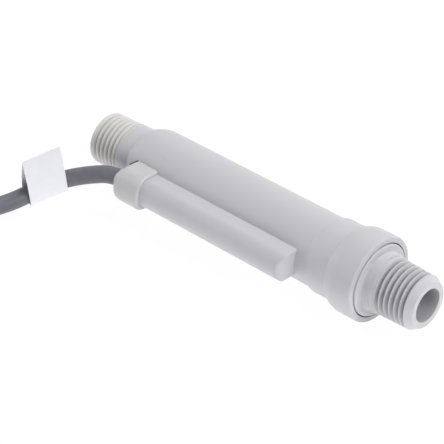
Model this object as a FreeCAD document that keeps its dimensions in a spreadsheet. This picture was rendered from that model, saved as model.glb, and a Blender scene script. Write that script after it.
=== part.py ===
# Piston flow sensor with a magnetic reed switch and a taper threaded port at each end.
# Millimetres. The flow runs along +X from the inlet face at x = 0, the switch rail is on -Y, +Z is up.
import FreeCAD, Part
import math
import os
import re

import Sketcher

# Driving sizes
SIZES = {
    # Ports: 1/4 inch taper pipe thread, modelled as its tapered envelope with a ring groove for each turn
    "port_radius": 4.15,
    "thread_end_radius": 6.63,
    "thread_taper": 0.03125,
    "thread_pitch": 1.41,
    "thread_groove_width": 0.8,
    "thread_groove_depth": 0.45,
    "inlet_chamfer": 0.35,
    "inlet_groove_setback": 1.5,
    "inlet_thread_length": 11.0,
    "outlet_chamfer": 1.0,
    "outlet_groove_setback": 2.5,
    "outlet_thread_length": 11.4,
    # Body, from the inlet thread to the rim of the socket
    "body_radius": 8.82,
    "inlet_neck_length": 2.3,
    "shoulder_length": 4.8,
    "tube_length": 53.8,
    "band_flare": 1.7,
    "band_width": 4.9,
    "band_height": 0.55,
    "socket_shoulder": 3.8,
    "socket_length": 4.8,
    "socket_radius": 10.65,
    "socket_wall": 1.4,
    "socket_depth": 7.1,
    "rim_round": 0.5,
    "chamber_radius": 6.9,
    "chamber_lead": 0.6,
    "seat_depth": 3.5,
    # Outlet fitting
    "seam_gap": 0.3,
    "flange_height": 0.4,
    "flange_round": 0.5,
    "neck_length": 2.1,
    "neck_step": 0.16,
    "neck_fillet": 0.3,
    "spigot_gap": 0.05,
    "spigot_chamfer": 0.6,
    "spigot_wall": 1.35,
    "pocket_setback": 7.0,
    "notch_width": 4.0,
    "notch_depth": 2.5,
    "groove_setback": 4.8,
    "groove_width": 2.0,
    "groove_depth": 1.3,
    "ring_play": 0.02,
    # Piston group
    "seat_gap": 0.05,
    "seat_width": 1.25,
    "piston_length": 22.0,
    "piston_gap": 0.12,
    "piston_chamfer": 0.4,
    "piston_stroke": 18.0,
    "stop_gap": 0.1,
    "nose_length": 1.5,
    "flute_radius": 1.1,
    "flute_count": 4,
    "flute_offset": 0.2,
    "magnet_radius": 3.5,
    "magnet_length": 8.0,
    "magnet_gap": 0.05,
    "magnet_chamfer": 0.4,
    "retainer_length": 2.4,
    "boss_length": 1.6,
    "boss_gap": 0.25,
    # Return spring
    "wire_radius": 0.25,
    "spring_room": 0.45,
    "wire_sides": 8,
    "spring_turns": 8,
    "spring_gap": 0.05,
    # Switch rail on the body
    "rail_length": 52.0,
    "rail_setback": 0.8,
    "rail_overlap": 1.32,
    "rail_depth": 5.43,
    "rail_half_height": 3.5,
    "rail_top_round": 2.9,
    "rail_low_round": 2.0,
    "rail_end_round": 1.8,
    "rail_outer_wall": 1.15,
    "rail_side_wall": 1.2,
    "cavity_half_width": 1.7,
    "cavity_end_room": 3.6,
    # Cable cap on the rail's mouth
    "cap_length": 9.1,
    "cap_floor": 1.4,
    "cap_floor_gap": 0.1,
    "cap_wall": 1.15,
    "cap_top_wall": 0.75,
    "cap_gap": 0.05,
    "cap_relief": 0.55,
    "cap_round": 2.8,
    "cap_lip_round": 0.65,
    # Cable end in the rail
    "cable_radius": 2.2,
    "cable_gap": 0.08,
    "jacket_grip": 1.2,
    "core_length": 6.5,
    "core_radius": 0.7,
    "splice_length": 5.0,
    "splice_radius": 0.85,
    "splice_room": 0.1,
    # Reed switch
    "inlet_lead_length": 3.0,
    "outlet_lead_length": 4.0,
    "lead_radius": 0.28,
    "glass_length": 14.0,
    "glass_radius": 1.15,
    "glass_wall": 0.35,
    "glass_seal": 2.2,
    "glass_round": 0.5,
    "glass_room": 0.3,
    "blade_width": 1.1,
    "blade_thickness": 0.25,
    "blade_overlap": 2.0,
    "contact_gap": 0.07,
    "sleeve_radius": 0.55,
    "sleeve_inset": 1.0,
    # Put-away cable: coil, tie, stripped end and label
    "coil_turn_radius": 22.0,
    "coil_corner": 1.3,
    "tie_width": 4.0,
    "tie_thickness": 0.5,
    "tie_gap": 0.15,
    "tail_core_length": 18.0,
    "tail_core_splay": 4.0,
    "tail_core_spacing": 0.85,
    "tail_core_gap": 0.1,
    "tail_tip_length": 6.0,
    "tail_tip_radius": 0.45,
    "label_length": 9.7,
    "label_loop_radius": 3.0,
    "label_thickness": 0.25,
    "label_flank_rise": 0.24,
    "label_flank_reach": 0.97,
}

# Places along the flow axis, worked out from those lengths
INLET_NECK_END = "inlet_thread_length + inlet_neck_length"
SHOULDER_END = INLET_NECK_END + " + shoulder_length"
TUBE_END = SHOULDER_END + " + tube_length"
BAND_START = TUBE_END + " + band_flare"
BAND_END = BAND_START + " + band_width"
SOCKET_START = BAND_END + " + socket_shoulder"
RIM = SOCKET_START + " + socket_length"
SOCKET_FLOOR = RIM + " - socket_depth"
FLANGE_FACE = RIM + " + flange_height"
OUTLET_THREAD_START = FLANGE_FACE + " + neck_length"
OUTLET_FACE = OUTLET_THREAD_START + " + outlet_thread_length"
SEAT = "inlet_thread_length + seat_depth"
PISTON_START = SEAT + " + seat_gap"
PISTON_END = PISTON_START + " + piston_length"
MAGNET_START = PISTON_END + " - retainer_length - magnet_length"
MAGNET_END = PISTON_END + " - retainer_length"
SPIGOT_NOSE = PISTON_END + " + piston_stroke + stop_gap"
POCKET_FLOOR = SOCKET_FLOOR + " - pocket_setback"
GROOVE_START = SOCKET_FLOOR + " - groove_setback"
GROOVE_END = GROOVE_START + " + groove_width"
RAIL_MOUTH = SHOULDER_END + " - rail_setback"
RAIL_END = RAIL_MOUTH + " + rail_length"
CAP_START = RAIL_MOUTH + " - cap_floor_gap - cap_floor"
CAP_END = CAP_START + " + cap_length"
JACKET_END = RAIL_MOUTH + " + jacket_grip"
SPLICE_START = JACKET_END + " + core_length"
SPLICE_END = SPLICE_START + " + splice_length"
GLASS_START = SPLICE_END + " + inlet_lead_length"
GLASS_END = GLASS_START + " + glass_length"
REED_START = GLASS_START + " + glass_seal"
REED_END = GLASS_END + " - glass_seal"
REED_MIDDLE = GLASS_START + " + glass_length / 2"
RETURN_BEND = GLASS_END + " + outlet_lead_length"

# Radii and places across the axis
THREAD_ROOT_RADIUS = "thread_end_radius + thread_taper * outlet_thread_length"
NECK_RADIUS = THREAD_ROOT_RADIUS + " + neck_step"
SOCKET_BORE = "socket_radius - socket_wall"
FLANGE_RADIUS = SOCKET_BORE + " - seam_gap"
SPIGOT_RADIUS = "chamber_radius - spigot_gap"
POCKET_RADIUS = SPIGOT_RADIUS + " - spigot_wall"
PISTON_RADIUS = "chamber_radius - piston_gap"
SPRING_RADIUS = POCKET_RADIUS + " - spring_room - wire_radius"
BOSS_RADIUS = SPRING_RADIUS + " - wire_radius - boss_gap"
RAIL_FACE = "-body_radius - rail_depth"
RAIL_ROOT = "rail_overlap - body_radius"
RAIL_AXIS = RAIL_FACE + " + rail_outer_wall + cavity_half_width"
CAVITY_HALF_HEIGHT = "rail_half_height - rail_side_wall"
REED_HEIGHT = CAVITY_HALF_HEIGHT + " - glass_room - glass_radius"
RETURN_HEIGHT = "splice_room + splice_radius - (%s)" % CAVITY_HALF_HEIGHT
RETURN_BEND_RADIUS = "((%s) - (%s)) / 2" % (REED_HEIGHT, RETURN_HEIGHT)
CAVITY_END = RETURN_BEND + " + %s + lead_radius + cavity_end_room" % RETURN_BEND_RADIUS
CABLE_HOLE = "cable_radius + cable_gap"

# Where the cable runs, as the corners of its route: out of the cap, past the label, to the coil
LEAD_ROUTE = [
    (18.5, -11.4, 0.0),
    (13.4, -11.4, 0.0),
    (7.8, -14.0, -1.6),
    (3.0, -18.6, -3.2),
    (-0.1, -24.7, -5.4),
    (-2.4, -32.0, -7.2),
    (-6.5, -39.5, -8.1),
    (-13.2, -46.1, -8.2),
    (-21.4, -50.4, -8.2),
    (-30.2, -53.3, -8.1),
    (-39.4, -54.6, -7.95),
    (-48.5, -54.8, -7.8),
]
# The cable's last stretch, off the top of the coil and down to the surface
TAIL_ROUTE = [
    (-65.6, -47.7, -3.4),
    (-70.1, -42.6, -3.4),
    (-74.4, -36.6, -4.4),
    (-77.2, -29.6, -6.8),
    (-78.0, -22.2, -8.3),
    (-77.7, -15.0, -8.4),
]
# Where the label sits on the cable, and the way that the cable runs there
LABEL_PLACE = (1.1, -22.55, -4.6)
LABEL_HEADING = -116.1
LABEL_DIP = 16.8
# How far the label leans over, about the cable
LABEL_LEAN = -18.0
# How far round the coil its tie sits, from the side at which the cable comes in
TIE_TURN = -22.0
# Turns of each thread that show as grooves
THREAD_GROOVES = 6
# Share of the shorter run that an arc of the cable takes
CORD_ARC_SHARE = 0.45
# How the checks on finished shapes judge them
TUBE_TOLERANCE = 0.01
PLANE_TOLERANCE = 1e-4
EDGE_TOLERANCE = 1e-3
LEAST_CUT = 1e-6

doc = FreeCAD.newDocument("piston_flow_sensor")
sheet = doc.addObject("Spreadsheet::Sheet", "sizes")
for row, (alias, amount) in enumerate(SIZES.items(), start=1):
    sheet.set("A%d" % row, alias)
    sheet.set("B%d" % row, str(amount))
    sheet.setAlias("B%d" % row, alias)
doc.recompute()


def sized(formula):
    """A formula in the sheet's names, written so that another object can hold it."""
    return re.sub(r"[a-z_]+", lambda name: "sizes." + name.group(), formula)


def number(formula):
    """What a formula in the sheet's names comes to now."""
    return float(sheet.evalExpression(sized(formula)))


def bind(item, **formulas):
    """Tie an object's properties to the sheet, one formula each."""
    for name, formula in formulas.items():
        item.setExpression(name, sized(formula))


def place(item, **formulas):
    """Tie the position of an object to the sheet."""
    for axis, formula in formulas.items():
        item.setExpression("Placement.Base." + axis, sized(formula))


def new_body(label):
    body = doc.addObject("PartDesign::Body", label)
    body.Label = label
    return body


def new_sketch(body, role, name):
    """An empty sketch on one of the body's own origin planes."""
    plane = [item for item in body.Origin.OriginFeatures if item.Role == role][0]
    sketch = body.newObject("Sketcher::SketchObject", name)
    sketch.AttachmentSupport = [(plane, "")]
    sketch.MapMode = "FlatFace"
    return sketch


def origin_axis(body, role):
    return [item for item in body.Origin.OriginFeatures if item.Role == role][0]


def fix_point(sketch, piece, end, across, along):
    """Hold one end of a sketch piece at two formulas, or on an axis where a formula is 0."""
    if across == "0":
        sketch.addConstraint(Sketcher.Constraint("PointOnObject", piece, end, -2))
    else:
        held = sketch.addConstraint(Sketcher.Constraint("DistanceX", -1, 1, piece, end, number(across)))
        sketch.setExpression("Constraints[%d]" % held, sized(across))
    if along == "0":
        sketch.addConstraint(Sketcher.Constraint("PointOnObject", piece, end, -1))
    else:
        held = sketch.addConstraint(Sketcher.Constraint("DistanceY", -1, 1, piece, end, number(along)))
        sketch.setExpression("Constraints[%d]" % held, sized(along))


def tangent_arc(start, end, heading, leaves):
    """An arc from start to end that runs along heading at its start (leaves) or at its end."""
    touch, other = (start, end) if leaves else (end, start)
    normal = FreeCAD.Vector(-heading.y, heading.x, 0)
    reach = other - touch
    offset = reach.dot(reach) / (2 * reach.dot(normal))
    centre = touch + normal * offset
    spoke = touch - centre
    turns_left = FreeCAD.Vector(-spoke.y, spoke.x, 0).dot(heading) > 0
    first, last = (start, end) if turns_left else (end, start)
    angle_first = math.atan2(first.y - centre.y, first.x - centre.x)
    angle_last = math.atan2(last.y - centre.y, last.x - centre.x)
    circle = Part.Circle(centre, FreeCAD.Vector(0, 0, 1), abs(offset))
    return Part.ArcOfCircle(circle, angle_first, angle_last), turns_left


def outline(sketch, corners):
    """A closed outline through corners of two formulas each.

    A third entry makes the stretch from that corner an arc: "leaves" runs on smoothly from the
    stretch before it, "joins" runs smoothly into the stretch after it.
    """
    points = [FreeCAD.Vector(number(corner[0]), number(corner[1]), 0) for corner in corners]
    count = len(corners)
    pieces = []
    for at, corner in enumerate(corners):
        start, end = points[at], points[(at + 1) % count]
        bend = corner[2] if len(corner) > 2 else None
        if bend is None:
            piece = sketch.addGeometry(Part.LineSegment(start, end))
            pieces.append((piece, 1, 2))
            continue
        if bend == "leaves":
            heading = start - points[at - 1]
        else:
            heading = points[(at + 2) % count] - end
        arc, turns_left = tangent_arc(start, end, heading.normalize(), bend == "leaves")
        piece = sketch.addGeometry(arc)
        pieces.append((piece, 1, 2) if turns_left else (piece, 2, 1))
    for at, corner in enumerate(corners):
        before = corners[at - 1]
        smooth = "leaves" in corner[2:] or "joins" in before[2:]
        kind = "Tangent" if smooth else "Coincident"
        piece_before, _, end_before = pieces[at - 1]
        piece, start, _ = pieces[at]
        sketch.addConstraint(Sketcher.Constraint(kind, piece_before, end_before, piece, start))
    for (piece, start, _), corner in zip(pieces, corners):
        fix_point(sketch, piece, start, corner[0], corner[1])


def circle(sketch, across, along, radius):
    """A circle at two formulas, of a radius that is a formula too."""
    middle = FreeCAD.Vector(number(across), number(along), 0)
    drawn = Part.Circle(middle, FreeCAD.Vector(0, 0, 1), number(radius))
    piece = sketch.addGeometry(drawn)
    fix_point(sketch, piece, 3, across, along)
    held = sketch.addConstraint(Sketcher.Constraint("Radius", piece, number(radius)))
    sketch.setExpression("Constraints[%d]" % held, sized(radius))


def lift(sketch, formula):
    """Move a sketch along its plane's normal."""
    sketch.setExpression("AttachmentOffset.Base.z", sized(formula))


def turned(body, corners, role="XY_Plane", axis="H_Axis"):
    """Turn an outline of (place along the axis, radius) corners into a solid of revolution."""
    sketch = new_sketch(body, role, body.Label + "_profile")
    outline(sketch, corners)
    feature = body.newObject("PartDesign::Revolution", body.Label + "_turned")
    feature.Profile = sketch
    feature.ReferenceAxis = (sketch, [axis])
    feature.Angle = 360
    doc.recompute()
    return feature


def pad(body, sketch, length, name):
    feature = body.newObject("PartDesign::Pad", name)
    feature.Profile = sketch
    bind(feature, Length=length)
    doc.recompute()
    return feature


def pocket(body, sketch, length, name, both_ways=False):
    """Cut a sketch into the body towards +X, or to both sides of its plane, and make sure that it cut."""
    before = body.Shape.Volume
    feature = body.newObject("PartDesign::Pocket", name)
    feature.Profile = sketch
    feature.Reversed = not both_ways
    feature.Midplane = both_ways
    bind(feature, Length=length)
    doc.recompute()
    if feature.Shape.Volume > before - LEAST_CUT:
        raise RuntimeError(name + " cut nothing")
    return feature


def round_edges(body, wanted, radius, name):
    """Fillet the edges of the body's last feature that wanted(edge) picks."""
    base = body.Tip
    picked = ["Edge%d" % at for at, edge in enumerate(base.Shape.Edges, start=1) if wanted(edge)]
    feature = body.newObject("PartDesign::Fillet", name)
    feature.Base = (base, picked)
    bind(feature, Radius=radius)
    doc.recompute()
    return feature


def flat_at(edge, place_x):
    """Whether an edge lies in the plane x = place_x."""
    box = edge.BoundBox
    return abs(box.XMin - place_x) < PLANE_TOLERANCE and abs(box.XMax - place_x) < PLANE_TOLERANCE


def rod(name, start, end, across, height, radius):
    """A round rod along X between two formulas."""
    item = doc.addObject("Part::Cylinder", name)
    item.Label = name
    item.Placement = FreeCAD.Placement(FreeCAD.Vector(), FreeCAD.Rotation(FreeCAD.Vector(0, 1, 0), 90))
    bind(item, Radius=radius, Height="(%s) - (%s)" % (end, start))
    place(item, x=start, y=across, z=height)
    return item


def rail_outline(near, grown, grown_top):
    """The rail's section on (y, z), grown by formulas: square at the near side, round at the far side."""
    far = "%s - (%s)" % (RAIL_FACE, grown)
    top = "rail_half_height + (%s)" % grown_top
    low = "-rail_half_height - (%s)" % grown
    top_round = "rail_top_round + (%s)" % grown
    low_round = "rail_low_round + (%s)" % grown
    return [
        (near, low),
        (near, top),
        ("%s + %s" % (far, top_round), top, "leaves"),
        (far, "%s - (%s)" % (top, top_round)),
        (far, "%s + %s" % (low, low_round), "leaves"),
        ("%s + %s" % (far, low_round), low),
    ]


def thread_radius(distance):
    """Radius of a thread's envelope at a distance from its end face."""
    return "thread_end_radius + thread_taper * (%s)" % distance


def groove_corners(setback):
    """The grooves of a thread as corners of (distance from its end face, radius), from the end inwards."""
    corners = []
    for turn in range(THREAD_GROOVES):
        middle = "%s + %d * thread_pitch" % (setback, turn)
        before = middle + " - thread_groove_width / 2"
        after = middle + " + thread_groove_width / 2"
        corners.append((before, thread_radius(before)))
        corners.append((middle, thread_radius(middle) + " - thread_groove_depth"))
        corners.append((after, thread_radius(after)))
    return corners


# Moulded body: inlet thread, shoulder, tube, band, socket and the rail for the switch
switch_body = new_body("switch_body")
turned(switch_body, [
    ("0", "thread_end_radius - inlet_chamfer"),
    ("inlet_chamfer", thread_radius("inlet_chamfer")),
] + groove_corners("inlet_groove_setback") + [
    (INLET_NECK_END, thread_radius(INLET_NECK_END), "joins"),
    (SHOULDER_END, "body_radius"),
    (TUBE_END, "body_radius"),
    (BAND_START, "body_radius + band_height"),
    (BAND_END, "body_radius + band_height", "joins"),
    (SOCKET_START, "socket_radius"),
    (RIM + " - rim_round", "socket_radius", "leaves"),
    (RIM, "socket_radius - rim_round"),
    (RIM, SOCKET_BORE),
    (SOCKET_FLOOR, SOCKET_BORE),
    (SOCKET_FLOOR, "chamber_radius + chamber_lead"),
    (SOCKET_FLOOR + " - chamber_lead", "chamber_radius"),
    (SEAT, "chamber_radius"),
    (SEAT, "port_radius"),
    ("0", "port_radius"),
])
rail_section = new_sketch(switch_body, "YZ_Plane", "rail_section")
lift(rail_section, RAIL_MOUTH)
outline(rail_section, rail_outline(RAIL_ROOT, "0", "0"))
pad(switch_body, rail_section, "rail_length", "rail")
rail_corner = new_sketch(switch_body, "XY_Plane", "rail_corner")
outline(rail_corner, [
    (RAIL_END, RAIL_FACE + " + 2 * rail_end_round"),
    (RAIL_END, RAIL_FACE + " + rail_end_round", "leaves"),
    (RAIL_END + " - rail_end_round", RAIL_FACE),
    (RAIL_END + " - rail_end_round", RAIL_FACE + " - rail_end_round"),
    (RAIL_END + " + rail_end_round", RAIL_FACE + " - rail_end_round"),
    (RAIL_END + " + rail_end_round", RAIL_FACE + " + 2 * rail_end_round"),
])
pocket(switch_body, rail_corner, "4 * rail_half_height", "rail_rounding", both_ways=True)
CAVITY_CORNERS = [
    (RAIL_AXIS + " + cavity_half_width", "-(%s)" % CAVITY_HALF_HEIGHT),
    (RAIL_AXIS + " + cavity_half_width", CAVITY_HALF_HEIGHT),
    (RAIL_AXIS + " - cavity_half_width", CAVITY_HALF_HEIGHT),
    (RAIL_AXIS + " - cavity_half_width", "-(%s)" % CAVITY_HALF_HEIGHT),
]
cavity_section = new_sketch(switch_body, "YZ_Plane", "cavity_section")
lift(cavity_section, RAIL_MOUTH)
outline(cavity_section, CAVITY_CORNERS)
pocket(switch_body, cavity_section, "%s - (%s)" % (CAVITY_END, RAIL_MOUTH), "switch_cavity")
jacket_hole = new_sketch(switch_body, "YZ_Plane", "jacket_hole_section")
lift(jacket_hole, RAIL_MOUTH)
circle(jacket_hole, RAIL_AXIS, "0", CABLE_HOLE)
pocket(switch_body, jacket_hole, "jacket_grip", "jacket_hole")

# Outlet fitting: castellated spigot with a seal groove, flange in the socket, neck and outlet thread
outlet_fitting = new_body("outlet_fitting")
turned(outlet_fitting, [
    (SPIGOT_NOSE, POCKET_RADIUS),
    (SPIGOT_NOSE, SPIGOT_RADIUS + " - spigot_chamfer"),
    (SPIGOT_NOSE + " + spigot_chamfer", SPIGOT_RADIUS),
    (GROOVE_START, SPIGOT_RADIUS),
    (GROOVE_START, SPIGOT_RADIUS + " - groove_depth"),
    (GROOVE_END, SPIGOT_RADIUS + " - groove_depth"),
    (GROOVE_END, SPIGOT_RADIUS),
    (SOCKET_FLOOR, SPIGOT_RADIUS),
    (SOCKET_FLOOR, FLANGE_RADIUS),
    (FLANGE_FACE + " - flange_round", FLANGE_RADIUS, "leaves"),
    (FLANGE_FACE, FLANGE_RADIUS + " - flange_round"),
    (FLANGE_FACE, NECK_RADIUS + " + neck_fillet", "leaves"),
    (FLANGE_FACE + " + neck_fillet", NECK_RADIUS),
    (OUTLET_THREAD_START, NECK_RADIUS),
    (OUTLET_THREAD_START, THREAD_ROOT_RADIUS),
] + [
    ("%s - (%s)" % (OUTLET_FACE, distance), radius)
    for distance, radius in reversed(groove_corners("outlet_groove_setback"))
] + [
    (OUTLET_FACE + " - outlet_chamfer", thread_radius("outlet_chamfer")),
    (OUTLET_FACE, "thread_end_radius - outlet_chamfer"),
    (OUTLET_FACE, "port_radius"),
    (POCKET_FLOOR, "port_radius"),
    (POCKET_FLOOR, POCKET_RADIUS),
])
notch_section = new_sketch(outlet_fitting, "XZ_Plane", "notch_section")
outline(notch_section, [
    (SPIGOT_NOSE, "-notch_width / 2"),
    (SPIGOT_NOSE + " + notch_depth", "-notch_width / 2"),
    (SPIGOT_NOSE + " + notch_depth", "notch_width / 2"),
    (SPIGOT_NOSE, "notch_width / 2"),
])
notch = pocket(outlet_fitting, notch_section, "4 * chamber_radius", "notch", both_ways=True)
notches = outlet_fitting.newObject("PartDesign::PolarPattern", "notches")
notches.Originals = [notch]
notches.Axis = (origin_axis(outlet_fitting, "X_Axis"), [""])
notches.Angle = 90
notches.Occurrences = 2
outlet_fitting.Tip = notches
doc.recompute()

# Seal ring in the spigot's groove
outlet_o_ring = doc.addObject("Part::Torus", "outlet_o_ring")
outlet_o_ring.Label = "outlet_o_ring"
outlet_o_ring.Placement = FreeCAD.Placement(FreeCAD.Vector(), FreeCAD.Rotation(FreeCAD.Vector(0, 1, 0), 90))
bind(
    outlet_o_ring,
    Radius1="chamber_radius - (spigot_gap + groove_depth) / 2",
    Radius2="(spigot_gap + groove_depth) / 2 - ring_play",
)
place(outlet_o_ring, x=GROOVE_START + " + groove_width / 2")

# Fluted piston, with a pocket for the magnet at its back
piston = new_body("piston")
turned(piston, [
    (PISTON_START, "0"),
    (PISTON_START, "port_radius + seat_width"),
    (PISTON_START + " + nose_length", PISTON_RADIUS),
    (PISTON_END + " - piston_chamfer", PISTON_RADIUS),
    (PISTON_END, PISTON_RADIUS + " - piston_chamfer"),
    (PISTON_END, "magnet_radius + magnet_gap"),
    (MAGNET_START, "magnet_radius + magnet_gap"),
    (MAGNET_START, "0"),
])
flute_section = new_sketch(piston, "YZ_Plane", "flute_section")
lift(flute_section, PISTON_START)
circle(flute_section, "0", PISTON_RADIUS + " + flute_offset", "flute_radius")
flute = pocket(piston, flute_section, "piston_length", "flute")
flutes = piston.newObject("PartDesign::PolarPattern", "flutes")
flutes.Originals = [flute]
flutes.Axis = (origin_axis(piston, "X_Axis"), [""])
flutes.Angle = 360
bind(flutes, Occurrences="flute_count")
piston.Tip = flutes
doc.recompute()

# Magnet in the piston
piston_magnet = new_body("piston_magnet")
turned(piston_magnet, [
    (MAGNET_START, "0"),
    (MAGNET_START, "magnet_radius - magnet_chamfer"),
    (MAGNET_START + " + magnet_chamfer", "magnet_radius"),
    (MAGNET_END + " - magnet_chamfer", "magnet_radius"),
    (MAGNET_END, "magnet_radius - magnet_chamfer"),
    (MAGNET_END, "0"),
])

# Plug behind the magnet, with the boss that centres the spring
magnet_retainer = new_body("magnet_retainer")
turned(magnet_retainer, [
    (MAGNET_END, "0"),
    (MAGNET_END, "magnet_radius"),
    (PISTON_END, "magnet_radius"),
    (PISTON_END, BOSS_RADIUS),
    (PISTON_END + " + boss_length - magnet_chamfer", BOSS_RADIUS),
    (PISTON_END + " + boss_length", BOSS_RADIUS + " - magnet_chamfer"),
    (PISTON_END + " + boss_length", "0"),
])

# Cap over the rail's mouth: a sleeve with a rounded end and a hole for the cable
cap_blank = new_body("cap_blank")
cap_section = new_sketch(cap_blank, "YZ_Plane", "cap_section")
lift(cap_section, CAP_START)
outline(cap_section, rail_outline(RAIL_ROOT, "cap_wall", "cap_top_wall"))
pad(cap_blank, cap_section, "cap_length", "cap_sleeve")


def at_cap_mouth(edge):
    """Whether an edge runs round the cap's cable end, away from the tube."""
    return flat_at(edge, number(CAP_START)) and edge.BoundBox.YMin < number(RAIL_ROOT) - EDGE_TOLERANCE


def at_cap_lip(edge):
    """Whether an edge runs round the cap's open end, away from the tube."""
    return flat_at(edge, number(CAP_END)) and edge.BoundBox.YMin < number(RAIL_ROOT) - EDGE_TOLERANCE


round_edges(cap_blank, at_cap_mouth, "cap_round", "cap_mouth_edges")
round_edges(cap_blank, at_cap_lip, "cap_lip_round", "cap_lip_edges")
rail_socket = new_sketch(cap_blank, "YZ_Plane", "rail_socket_section")
lift(rail_socket, CAP_START + " + cap_floor")
outline(rail_socket, rail_outline("0", "cap_gap", "cap_gap"))
pocket(cap_blank, rail_socket, "cap_length - cap_floor", "rail_socket")
cable_hole = new_sketch(cap_blank, "YZ_Plane", "cable_hole_section")
lift(cable_hole, CAP_START)
circle(cable_hole, RAIL_AXIS, "0", CABLE_HOLE)
pocket(cap_blank, cable_hole, "cap_floor", "cable_hole")
body_clearance = new_body("body_clearance")
turned(body_clearance, [
    (CAP_START, "0"),
    (CAP_START, "body_radius + cap_relief"),
    (SHOULDER_END, "body_radius + cap_gap"),
    (TUBE_END, "body_radius + cap_gap"),
    (TUBE_END, "0"),
])
cable_cap = doc.addObject("Part::Cut", "cable_cap")
cable_cap.Label = "cable_cap"
cable_cap.Base = cap_blank
cable_cap.Tool = body_clearance
doc.recompute()

# Cable cores from the jacket's end to the joints with the switch leads
supply_core = rod("supply_core", JACKET_END, SPLICE_START, RAIL_AXIS, REED_HEIGHT, "core_radius")
signal_core = rod("signal_core", JACKET_END, SPLICE_START, RAIL_AXIS, RETURN_HEIGHT, "core_radius")
supply_splice = rod("supply_splice", SPLICE_START, SPLICE_END, RAIL_AXIS, REED_HEIGHT, "splice_radius")
signal_splice = rod("signal_splice", SPLICE_START, SPLICE_END, RAIL_AXIS, RETURN_HEIGHT, "splice_radius")

# Reed switch: glass capsule sealed on two leads, which become the flat reeds inside it
reed_glass = new_body("reed_glass")
turned(reed_glass, [
    (GLASS_START, "lead_radius"),
    (GLASS_START, "glass_radius - glass_round"),
    (GLASS_START + " + glass_round", "glass_radius"),
    (GLASS_END + " - glass_round", "glass_radius"),
    (GLASS_END, "glass_radius - glass_round"),
    (GLASS_END, "lead_radius"),
    (REED_END, "lead_radius"),
    (REED_END, "glass_radius - glass_wall"),
    (REED_START, "glass_radius - glass_wall"),
    (REED_START, "lead_radius"),
])
place(reed_glass, y=RAIL_AXIS, z=REED_HEIGHT)


def blade(name, start, end, across):
    """A flat reed along X, its broad faces towards Y."""
    item = doc.addObject("Part::Box", name)
    bind(item, Length="%s - (%s)" % (end, start), Width="blade_thickness", Height="blade_width")
    place(item, x=start, y=across, z=REED_HEIGHT + " - blade_width / 2")
    return item


def joined(name, pieces):
    """Pieces made as one, under one label."""
    item = doc.addObject("Part::MultiFuse", name)
    item.Label = name
    item.Shapes = pieces
    item.Refine = True
    return item


reed_blade_inlet = joined("reed_blade_inlet", [
    rod("inlet_lead", SPLICE_END, REED_START, RAIL_AXIS, REED_HEIGHT, "lead_radius"),
    blade("inlet_reed", REED_START, REED_MIDDLE + " + blade_overlap / 2", RAIL_AXIS + " + contact_gap / 2"),
])
return_bend = doc.addObject("Part::Torus", "return_bend")
return_bend.Angle3 = 180
bind(return_bend, Radius1=RETURN_BEND_RADIUS, Radius2="lead_radius")
return_bend.Placement = FreeCAD.Placement(
    FreeCAD.Vector(),
    FreeCAD.Rotation(FreeCAD.Vector(1, 0, 0), 90) * FreeCAD.Rotation(FreeCAD.Vector(0, 0, 1), -90),
)
place(return_bend, x=RETURN_BEND, y=RAIL_AXIS, z="((%s) + %s) / 2" % (REED_HEIGHT, RETURN_HEIGHT))
reed_blade_outlet = joined("reed_blade_outlet", [
    blade("outlet_reed", REED_MIDDLE + " - blade_overlap / 2", REED_END,
          RAIL_AXIS + " - contact_gap / 2 - blade_thickness"),
    rod("outlet_lead", REED_END, RETURN_BEND, RAIL_AXIS, REED_HEIGHT, "lead_radius"),
    return_bend,
    rod("return_lead", SPLICE_END, RETURN_BEND, RAIL_AXIS, RETURN_HEIGHT, "lead_radius"),
])

# Insulating sleeve on the lead that runs back past the glass
SLEEVE_START = SPLICE_END + " + sleeve_inset"
SLEEVE_END = RETURN_BEND + " - sleeve_inset"
return_lead_sleeve = new_body("return_lead_sleeve")
turned(return_lead_sleeve, [
    (SLEEVE_START, "lead_radius"),
    (SLEEVE_START, "sleeve_radius"),
    (SLEEVE_END, "sleeve_radius"),
    (SLEEVE_END, "lead_radius"),
])
place(return_lead_sleeve, y=RAIL_AXIS, z=RETURN_HEIGHT)

# Resin that fills the rail round the switch
potting_blank = new_body("potting_blank")
potting_section = new_sketch(potting_blank, "YZ_Plane", "potting_section")
lift(potting_section, JACKET_END)
outline(potting_section, CAVITY_CORNERS)
pad(potting_blank, potting_section, "%s - (%s)" % (CAVITY_END, JACKET_END), "potting_fill")
potted_capsule = rod("potted_capsule", GLASS_START, GLASS_END, RAIL_AXIS, REED_HEIGHT, "glass_radius")
potted_pieces = joined("potted_pieces", [
    supply_core, signal_core, supply_splice, signal_splice,
    potted_capsule, reed_blade_inlet, reed_blade_outlet, return_lead_sleeve,
])
potting_compound = doc.addObject("Part::Cut", "potting_compound")
potting_compound.Label = "potting_compound"
potting_compound.Base = potting_blank
potting_compound.Tool = potted_pieces
doc.recompute()


def corner_arc(before, corner, after, setback):
    """The arc that rounds a corner of a path, from one setback before it to one setback after it."""
    way_in = (corner - before).normalize()
    way_out = (after - corner).normalize()
    half_turn = way_in.getAngle(way_out) / 2
    radius = setback / math.tan(half_turn)
    inward = (way_out - way_in).normalize()
    middle = corner + inward * (radius / math.cos(half_turn) - radius)
    return Part.Arc(corner - way_in * setback, middle, corner + way_out * setback)


def ring_at_start(path, radius):
    """A circle round the start of a path, square to it."""
    first = path.Edges[0]
    return Part.Circle(first.valueAt(first.FirstParameter), first.tangentAt(first.FirstParameter), radius)


def tube(name, path, section):
    """A solid of one section along a path of smoothly joined edges."""
    item = doc.addObject("Part::Feature", name)
    item.Label = name
    item.Shape = path.makePipeShell([section], True, True)
    expected = Part.Face(section).Area * path.Length
    if abs(item.Shape.Volume / expected - 1) > TUBE_TOLERANCE:
        raise RuntimeError(name + " isn't its section times its length")
    return item


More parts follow.
